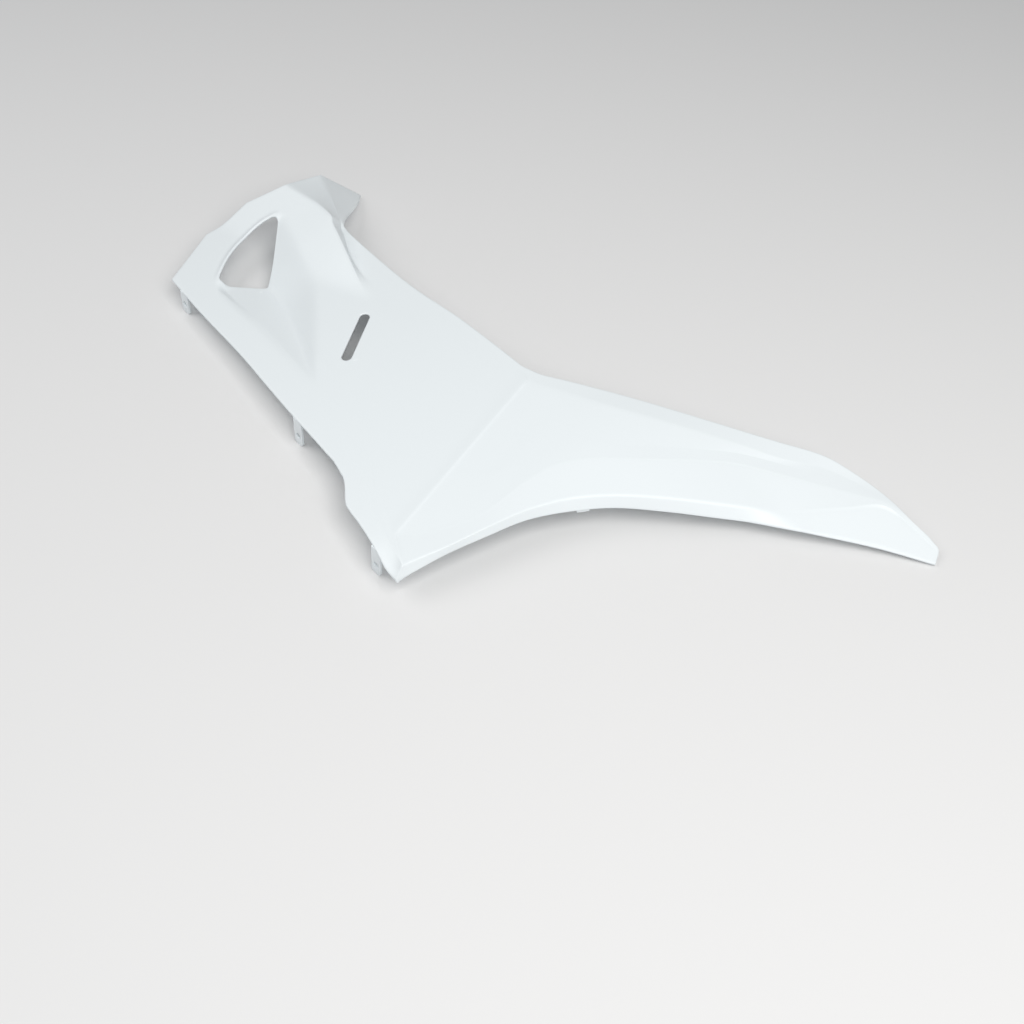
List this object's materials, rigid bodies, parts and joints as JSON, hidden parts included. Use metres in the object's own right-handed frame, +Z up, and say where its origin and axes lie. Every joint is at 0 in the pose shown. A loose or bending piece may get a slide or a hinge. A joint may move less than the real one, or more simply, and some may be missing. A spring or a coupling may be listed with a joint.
{
  "type": "scooter floor side panel",
  "caption": "Moulded side panel that covers the floor of a scooter, with a wing at its tail, a scooped air opening and screw tabs along one edge.",
  "frame": {"origin": "middle of the bounding box, on the floor under the panel", "axes": "+X along the panel from the front edge to the tail tip, +Y across to the far edge with the ear, +Z up, out of the painted face"},
  "size_m": [0.8411, 0.4884, 0.0679],
  "materials": {
    "paint": "glossy pearl white paint"
  },
  "bodies": {
    "root": {"side_panel": "paint"}
  },
  "joints": []
}
